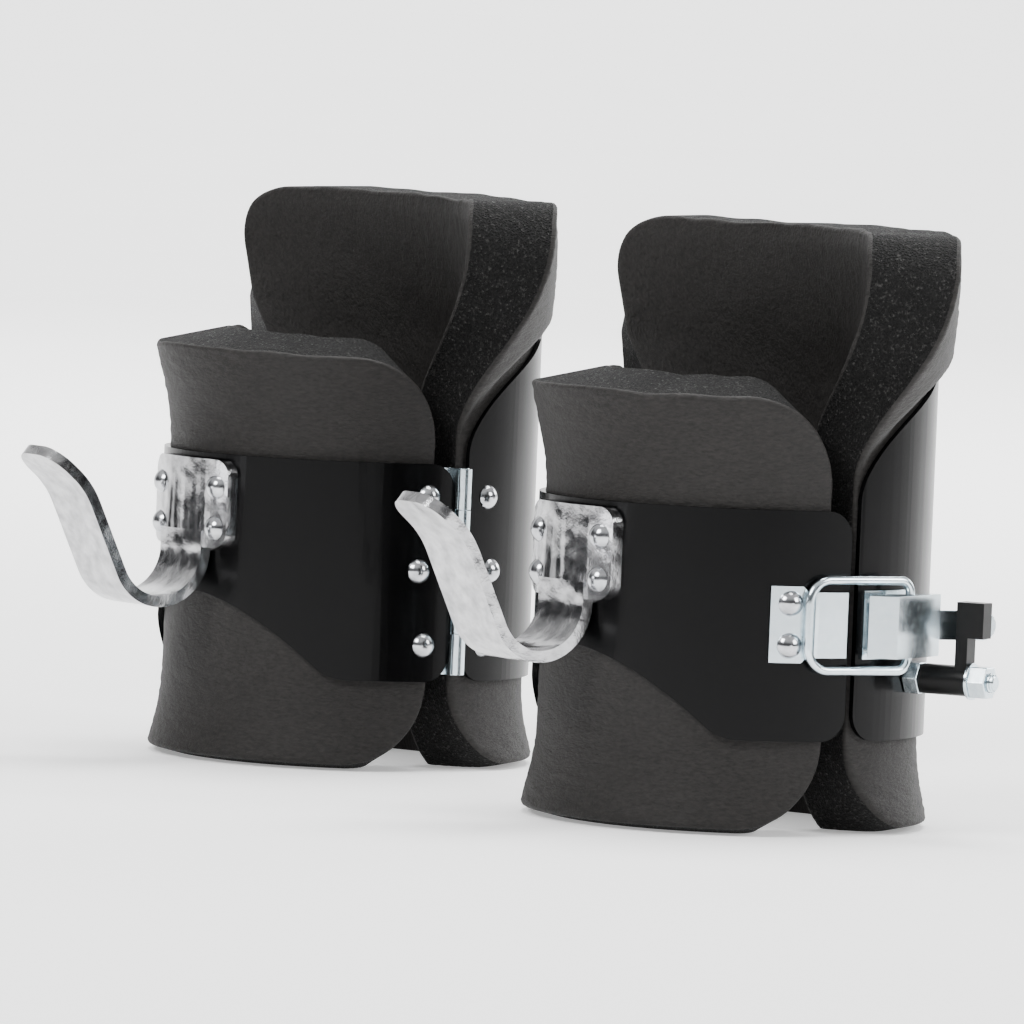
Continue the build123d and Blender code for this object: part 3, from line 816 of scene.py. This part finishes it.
@dataclass
class FrontLiner(FoamSheet):
    """Foam inside the front shell: it flares above and below the shell and has large round corners."""

    half_angle: float = math.radians(84.0)
    top_end: float = 111.3 * MM
    top_corner: tuple = (23 * MM, 31 * MM)
    low_corner: tuple = (22 * MM, 30 * MM)
    hold_margin: float = 1.0 * MM
    columns: int = 110
    skin_seed: int = 11
    edge_seed: int = 5

    def place(self, across: Array, height: Array, depth: Array, face: Face) -> Array:
        """Bends the flat sheet round the front of the ankle.

        The section's middle is upright inside the shell and flares past both ends. A point lies along
        the section's normal by its depth, and is turned about the axis by across over the middle radius.

        Args:
            across: place across the sheet, in metres.
            height: place up the sheet, in metres.
            depth: depth from the outer face, in metres.
            face: which face the places are on.

        Returns:
            Points in the shared frame.
        """
        up, up_slope = self.flare(height - self.boot.front_top)
        down, down_slope = self.flare(-height - self.flare_gap)
        tilt = np.arctan(up_slope - down_slope)
        skin = self.wrinkles(across, height, face, self.skin_seed) * (-1 if face is Face.INSIDE else 1)
        low, high = self.hold_margin, self.boot.front_top - self.hold_margin
        held = (height > low) & (height < high) & (face is Face.OUTSIDE)
        out = self.thickness / 2 - depth + np.where(held, -np.abs(skin), skin)
        radius = self.middle + up + down + out * np.cos(tilt)
        z = height - out * np.sin(tilt) + self.ragged(across, height, self.top_end, self.edge_seed)
        turn = across / self.middle
        z = np.maximum(z, -self.boot.centre.z)
        return self.boot.world(radius * np.sin(turn), -radius * np.cos(turn), z)

    def build(self) -> None:
        half = self.middle * self.half_angle
        rows = rounded_rows(self.low_end, self.top_end, half - self.edge, self.low_corner, self.top_corner,
                            self.step)
        slab = Slab(*rows, self.thickness, self.edge, self.columns)
        piece = slab.faces(self.place).make(f"{self.boot.side}_front_liner", self.finishes)
        self.boot.adopt(piece, "front_foam", "front_half", Slot.FOAM)


@dataclass
class RearLiner(FoamSheet):
    """Foam inside the rear shell, whose tall back widens and opens out above the shell like a tongue."""

    half_angle: float = math.radians(88.0)
    top: float = 163.0 * MM
    top_half_angle: float = math.radians(40.0)
    top_back: float = 51.5 * MM
    top_thickness: float = 30.0 * MM
    widening: float = 13.0 * MM
    widening_end: float = 0.5
    open_low: float = 84.0 * MM
    open_power: float = 1.5
    side_top: float = 76.0 * MM
    rim_release: float = 13.0 * MM
    top_corner: tuple = (17 * MM, 20 * MM)
    low_corner: tuple = (20 * MM, 30 * MM)
    rim_back: tuple = (0, 0.055, 0.30, 0.58, 1.0)
    rim_rise: tuple = (0, 0.25, 0.59, 0.83, 1.0)
    lean_start: float = 6.0 * MM
    last_share: float = 1.02
    columns: int = 118
    skin_seed: int = 23
    edge_seed: int = 6

    def rim(self, y: Array) -> Array:
        """Height of the rear shell's rim.

        Args:
            y: places behind the boot's middle, in metres.

        Returns:
            Heights above the front shell's lower edge, in metres.
        """
        rise = self.boot.rear_top - self.side_top
        back = np.array(self.rim_back) * self.boot.radius + self.boot.seam
        return self.side_top + rise * np.interp(y, back, self.rim_rise)

    def place(self, across: Array, height: Array, depth: Array, face: Face) -> Array:
        """Bends the flat sheet round the heel and opens it out above the shell.

        Each height's plan is an arc: low down a half ring inside the shell, and towards the top a wider
        and shallower arc. Its half angle, length, thickness and back move by the opening, the sine of a
        quarter turn times the share of the height, to a power. Below the shell's rim the arc is squeezed
        to the shell's bore.

        Args:
            across: place across the sheet, in metres.
            height: place up the sheet, in metres.
            depth: depth from the outer face, in metres.
            face: which face the places are on.

        Returns:
            Points in the shared frame.
        """
        half = self.middle * self.half_angle
        share = np.clip((height - self.open_low) / (self.top - self.open_low), 0, self.last_share)
        opening = np.sin(np.clip(share, 0, 1) * math.pi / 2) ** self.open_power
        down, down_slope = self.flare(-height - self.flare_gap)
        tilt = np.arctan(-down_slope)
        skin = self.wrinkles(across, height, face, self.skin_seed) * (-1 if face is Face.INSIDE else 1)
        thickness = self.thickness + opening * (self.top_thickness - self.thickness)
        out = (0.5 - depth / self.thickness) * thickness
        tucked = (height < self.open_low) & (face is Face.OUTSIDE) & (height > 0)
        out = out + np.where(tucked, -np.abs(skin), skin)
        angle = self.half_angle + opening * (self.top_half_angle - self.half_angle)
        length = half + self.widening * np.clip(share / self.widening_end, 0, 1)
        middle = length / angle + down
        lean_run = self.top - self.boot.rear_top
        back_share = np.clip((height - self.boot.rear_top + self.lean_start) / lean_run, 0, 1)
        back = self.outer + down - back_share * opening * (self.outer - self.top_back)
        turn = across / half * angle
        radius = middle + out * np.cos(tilt)
        x, y = radius * np.sin(turn), back - middle - thickness / 2 + radius * np.cos(turn)
        z = np.maximum(height - out * np.sin(tilt), -self.boot.centre.z)
        z = z + self.ragged(across, height, self.top, self.edge_seed)
        spread = np.hypot(x, y)
        free = np.clip((z - self.rim(y)) / self.rim_release, 0, 1)
        held = (1 - free * free * (3 - 2 * free)) * (z > 0)
        squeeze = 1 - held * np.clip(spread - self.outer, 0, None) / spread
        return self.boot.world(x * squeeze, y * squeeze, z)

    def build(self) -> None:
        half = self.middle * self.half_angle
        rows = rounded_rows(self.low_end, self.top - self.edge, half - self.edge, self.low_corner,
                            self.top_corner, self.step)
        slab = Slab(*rows, self.thickness, self.edge, self.columns)
        piece = slab.faces(self.place).make(f"{self.boot.side}_rear_liner", self.finishes)
        self.boot.adopt(piece, "rear_foam", "rear_half", Slot.FOAM)


# ---- Hardware from the CAD ----
@dataclass
class HardPart:
    """A CAD part with its edges broken: a merged copy of the node with a small bevel."""

    boot: BootFrame
    part: str
    body: str
    slot: Slot
    finish: bpy.types.Material
    bevel: float = 0.3 * MM
    crease: float = math.radians(32.0)

    def build(self) -> None:
        """Copies the node, merges its triangles into faces and bevels its edges."""
        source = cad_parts[self.boot.own(self.part)]
        mesh = source.data.copy()
        work = bmesh.new()
        work.from_mesh(mesh)
        bmesh.ops.remove_doubles(work, verts=work.verts, dist=2e-6)
        bmesh.ops.dissolve_limit(work, angle_limit=FLAT_ANGLE, verts=work.verts, edges=work.edges)
        work.to_mesh(mesh)
        work.free()
        mesh.materials.clear()
        mesh.materials.append(self.finish)
        mesh.polygons.foreach_set("material_index", np.zeros(len(mesh.polygons), np.int32))
        mesh.shade_smooth()
        mesh.set_sharp_from_angle(angle=self.crease)
        piece = link_new(f"{self.boot.side}_{self.part}_finished", mesh)
        if self.bevel > 0:
            rounding = piece.modifiers.new("broken_edges", "BEVEL")
            rounding.width = self.bevel
            rounding.segments = 2
            rounding.limit_method = "ANGLE"
            rounding.angle_limit = self.crease
            rounding.harden_normals = True
        self.boot.adopt(piece, self.part, self.body, self.slot)


@dataclass
class ThreadedBolt:
    """The catch's bolt with real thread ridges on its free end: a profile turned about its axis."""

    boot: BootFrame
    finish: bpy.types.Material
    angle: float = math.radians(118.5)
    head_back: float = 59.61 * MM
    head_height: float = 2.0 * MM
    head_radius: float = 6.0 * MM
    radius: float = 3.0 * MM
    core: float = 2.62 * MM
    thread_start: float = 86.0 * MM
    end: float = 95.0 * MM
    pitch: float = 1.0 * MM
    chamfer: float = 0.7 * MM
    ridge_steps: tuple = (0.0, 0.15, 0.5, 0.6)
    turns: int = 48

    def profile(self) -> Array:
        """Section of the bolt, from the middle of its head to the middle of its end.

        Returns:
            Rows of (distance from the boot's axis, radius), in metres.
        """
        crests = np.arange(self.thread_start, self.end - self.chamfer, self.pitch)
        ridge = (self.radius, self.radius, self.core, self.core)
        face = self.head_back + self.head_height
        rows = [[self.head_back, 0.0], [self.head_back, self.head_radius], [face, self.head_radius],
                [face, self.radius]]
        for crest in crests:
            rows += [[crest + self.pitch * step, radius] for step, radius in zip(self.ridge_steps, ridge)]
        rows += [[self.end - self.chamfer, self.core], [self.end, self.core - self.chamfer / 2],
                 [self.end, 0.0]]
        return np.array(rows)

    def build(self) -> None:
        """Turns the profile and puts the bolt in place of its CAD node."""
        low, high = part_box(self.boot.own("catch_bolt"))
        middle = (low.z + high.z) / 2 - self.boot.centre.z
        rows = self.profile()
        turn = np.linspace(0, 2 * math.pi, self.turns, endpoint=False)
        along, radius = rows[:, 0][:, None], rows[:, 1][:, None]
        swing = radius * np.cos(turn)[None, :]
        x = along * math.sin(self.angle) + swing * math.cos(self.angle)
        y = -along * math.cos(self.angle) + swing * math.sin(self.angle)
        z = middle + radius * np.sin(turn)[None, :]
        points = self.boot.world(x, y, z).reshape(-1, 3)
        index = np.arange(len(points)).reshape(len(rows), self.turns)
        index = np.concatenate([index, index[:, :1]], 1)
        quads = grid_quads(index.T)
        sheet = np.stack([np.zeros(len(points)), points[:, 2]], 1)
        surface = Surface(points, quads, sheet, np.zeros(len(quads), int))
        piece = surface.make(f"{self.boot.side}_threaded_bolt", (self.finish,))
        piece.data.set_sharp_from_angle(angle=BOLT_CREASE)
        self.boot.adopt(piece, "catch_bolt", "rear_half", Slot.ZINC)


# ---- Studio ----
@dataclass(frozen=True)
class Lamp:
    """A square soft light. Its place and target are right of, towards and above the object."""

    name: str
    place: tuple
    size: float
    power: float
    target: tuple = (0.0, 0.0, 0.08)


LAMPS = (
    Lamp("key_light", (-1.5, 1.5, 1.8), 1.0, 70.0),
    Lamp("fill_light", (1.9, 0.9, 1.1), 0.9, 34.0),
    Lamp("top_light", (0.2, -0.5, 2.3), 1.5, 90.0),
    Lamp("rim_light", (1.6, -1.4, 0.8), 0.7, 20.0),
    Lamp("backdrop_light", (0.0, -2.2, 2.6), 2.5, 260.0, (0.0, -5.0, 0.6)),
)


@dataclass
class Studio:
    """Pale floor and sweep, soft lights and the camera."""

    azimuth: float = math.radians(55.3)
    elevation: float = math.radians(3.3)
    roll: float = math.radians(2.365)
    distance: float = 3.3427
    lens: float = 351.5625
    aim_right: float = -5.7 * MM
    aim_up: float = 61.0 * MM
    sensor: float = 36.0
    far: float = 50.0
    floor_half_width: float = 9.0
    floor_depth: float = 4.0
    floor_curve: float = 1.5
    floor_steps: int = 24
    backdrop: float = 3.0
    floor_drop: float = 0.0002
    floor_dark: tuple = (0.88, 0.88, 0.88)
    floor_light: tuple = (0.92, 0.92, 0.92)
    floor_cloud: float = 3.0
    floor_roughness: float = 0.7
    floor_specular: float = 0.1
    floor_glow: float = 0.35
    white: tuple = (1.0, 1.0, 1.0, 1.0)
    ring_tone: tuple = (0.10, 0.10, 0.105, 1.0)
    ring_end: float = 0.30
    sky_start: float = 0.62
    sky_strength: float = 0.7

    def sweep(self) -> None:
        """Floor that curves up behind the object: a quarter circle carried along the width."""
        width, depth, radius = self.floor_half_width, self.floor_depth, self.floor_curve
        turn = np.linspace(0, math.pi / 2, self.floor_steps)
        run = np.concatenate([[-depth], depth + radius * np.sin(turn), [depth + radius]])
        rise = np.concatenate([[0.0], radius * (1 - np.cos(turn)), [radius + self.backdrop]])
        view = np.array([-math.sin(self.azimuth), math.cos(self.azimuth)])
        side = np.array([math.cos(self.azimuth), math.sin(self.azimuth)])
        points = []
        for edge in (-width, width):
            plan = run[:, None] * view[None, :] + edge * side[None, :]
            points.append(np.column_stack([plan, rise - self.floor_drop]))
        count = len(run)
        quads = [(i, i + count, i + count + 1, i + 1) for i in range(count - 1)]
        mesh = bpy.data.meshes.new("studio_sweep")
        mesh.from_pydata(np.concatenate(points).tolist(), [], quads)
        book = NodeBook("pale_floor")
        tone = book.noise(book.place((1, 1, 1)), self.floor_cloud)
        mesh.materials.append(book.finish({
            "Base Color": book.blend(tone, self.floor_dark, self.floor_light),
            "Roughness": self.floor_roughness,
            "Specular IOR Level": self.floor_specular,
            "Emission Color": self.white,
            "Emission Strength": self.floor_glow,
        }))
        link_new("studio_sweep", mesh)

    def spot(self, place: tuple) -> Vector:
        """Point from distances as the camera sees them.

        Args:
            place: right of, towards and above the object, in metres.

        Returns:
            The point in the shared frame.
        """
        side = Vector((math.cos(self.azimuth), math.sin(self.azimuth), 0))
        toward = Vector((math.sin(self.azimuth), -math.cos(self.azimuth), 0))
        return side * place[0] + toward * place[1] + Vector((0, 0, place[2]))

    def light(self, lamp: Lamp) -> None:
        """Adds a soft light.

        Args:
            lamp: what the light is.
        """
        data = bpy.data.lights.new(lamp.name, "AREA")
        data.size = lamp.size
        data.energy = lamp.power
        piece = link_new(lamp.name, data)
        piece.location = self.spot(lamp.place)
        sight = self.spot(lamp.target) - piece.location
        piece.rotation_euler = sight.to_track_quat("-Z", "Y").to_euler()

    def air(self) -> None:
        """Bright sky over a dim ring at eye level, which gives the metal its dark streaks."""
        world = bpy.data.worlds.new("studio_air")
        world.use_nodes = True
        nodes, links = world.node_tree.nodes, world.node_tree.links
        where = nodes.new("ShaderNodeTexCoord")
        split = nodes.new("ShaderNodeSeparateXYZ")
        ramp = nodes.new("ShaderNodeValToRGB")
        ring, sky = ramp.color_ramp.elements
        ring.color, ring.position = self.ring_tone, self.ring_end
        sky.color, sky.position = self.white, self.sky_start
        sight = nodes.new("ShaderNodeLightPath")
        mix = nodes.new("ShaderNodeMix")
        mix.data_type = "RGBA"
        mix.inputs[7].default_value = self.white
        links.new(where.outputs["Generated"], split.inputs[0])
        links.new(split.outputs["Z"], ramp.inputs["Fac"])
        links.new(sight.outputs["Is Camera Ray"], mix.inputs[0])
        links.new(ramp.outputs["Color"], mix.inputs[6])
        links.new(mix.outputs[2], nodes["Background"].inputs["Color"])
        nodes["Background"].inputs["Strength"].default_value = self.sky_strength
        bpy.context.scene.world = world

    def camera(self, target: Vector) -> None:
        """Long-lens camera at the viewing angle, aimed past the target.

        Args:
            target: middle of the pair at the height of the shells' lower edges.
        """
        back = Vector((math.sin(self.azimuth) * math.cos(self.elevation),
                       -math.cos(self.azimuth) * math.cos(self.elevation), math.sin(self.elevation)))
        right = Vector((math.cos(self.azimuth), math.sin(self.azimuth), 0))
        up = back.cross(right)
        turned_right = right * math.cos(self.roll) + up * math.sin(self.roll)
        turned_up = up * math.cos(self.roll) - right * math.sin(self.roll)
        data = bpy.data.cameras.new("camera")
        data.lens = self.lens
        data.sensor_width = self.sensor
        data.clip_end = self.far
        eye = link_new("camera", data)
        matrix = Matrix((turned_right, turned_up, back)).transposed().to_4x4()
        matrix.translation = (target + turned_right * self.aim_right + turned_up * self.aim_up
                              + back * self.distance)
        eye.matrix_world = matrix
        bpy.context.scene.camera = eye

    def build(self, target: Vector) -> None:
        """Sets up the floor, the lights, the surroundings and the camera.

        Args:
            target: middle of the pair at the height of the shells' lower edges.
        """
        self.sweep()
        for lamp in LAMPS:
            self.light(lamp)
        self.air()
        self.camera(target)


# ---- The pair ----
@dataclass
class Finishes:
    """Every material, made once and shared by both boots."""

    def __post_init__(self) -> None:
        """Makes the materials."""
        self.paint = GlossPaint().material()
        self.foam = (FoamSkin("foam_skin_outside", Grain.LEVEL, depth=0.00042).material(),
                     FoamSkin("foam_skin_inside", Grain.UPRIGHT, depth=0.00080).material(),
                     FoamCut().material())
        self.hook = Plating("bright_plating", dark=(0.34, 0.34, 0.35), light=(0.60, 0.60, 0.61),
                            roughness=0.17, spread=0.12, mottle=210.0, wave=55.0,
                            relief=0.0011).material()
        self.zinc = Plating("blue_zinc", dark=(0.60, 0.69, 0.74), light=(0.76, 0.84, 0.88),
                            roughness=0.22, spread=0.10, mottle=420.0, wave=40.0,
                            relief=0.00010).material()
        self.rivet = Plating("rivet_nickel", dark=(0.42, 0.43, 0.45), light=(0.62, 0.63, 0.65),
                             roughness=0.20, spread=0.10, mottle=300.0, wave=90.0,
                             relief=0.0004).material()
        self.plastic = MouldedPlastic().material()


# CAD part, moving body, slot, finish, bevel in millimetres
HARDWARE = (
    ("front_shell", "front_half", Slot.SHELL, "paint", 0.5),
    ("rear_shell", "rear_half", Slot.SHELL, "paint", 0.5),
    ("hook", "front_half", Slot.HOOK, "hook", 0.9),
    ("hook_rivets", "front_half", Slot.ZINC, "rivet", 0.0),
    ("hinge_front_leaf", "front_half", Slot.ZINC, "zinc", 0.2),
    ("hinge_rear_leaf", "rear_half", Slot.ZINC, "zinc", 0.2),
    ("hinge_pin", "front_half", Slot.ZINC, "zinc", 0.0),
    ("hinge_front_rivets", "front_half", Slot.ZINC, "rivet", 0.0),
    ("hinge_rear_rivets", "rear_half", Slot.ZINC, "rivet", 0.0),
    ("strike_plate", "front_half", Slot.ZINC, "zinc", 0.25),
    ("strike_rivets", "front_half", Slot.ZINC, "rivet", 0.0),
    ("latch_base", "rear_half", Slot.ZINC, "zinc", 0.25),
    ("latch_base_rivets", "rear_half", Slot.ZINC, "rivet", 0.0),
    ("latch_lever", "lever", Slot.ZINC, "zinc", 0.4),
    ("lever_pivot_pin", "rear_half", Slot.ZINC, "zinc", 0.0),
    ("wire_bail", "bail", Slot.ZINC, "zinc", 0.0),
    ("safety_catch", "catch", Slot.PLASTIC, "plastic", 0.5),
    ("catch_base_nut", "rear_half", Slot.ZINC, "zinc", 0.35),
    ("catch_washer", "rear_half", Slot.ZINC, "zinc", 0.15),
    ("catch_lock_nut", "rear_half", Slot.ZINC, "zinc", 0.35),
)


@dataclass
class Boot:
    """One boot: its liners and its hardware."""

    side: str
    finishes: Finishes

    def build(self) -> None:
        """Builds every piece of the boot."""
        boot = BootFrame(self.side)
        FrontLiner(boot, self.finishes.foam).build()
        RearLiner(boot, self.finishes.foam).build()
        for part, body, slot, finish, bevel in HARDWARE:
            HardPart(boot, part, body, slot, getattr(self.finishes, finish), bevel * MM).build()
        ThreadedBolt(boot, self.finishes.zinc).build()


def main() -> None:
    """Builds the pair and the studio round it."""
    logging.basicConfig(level=logging.INFO, format="%(message)s")
    finishes = Finishes()
    for side in ("left", "right"):
        Boot(side, finishes).build()
    left, right = BootFrame("left").centre, BootFrame("right").centre
    Studio().build((left + right) / 2)


if __name__ == "__main__":
    main()
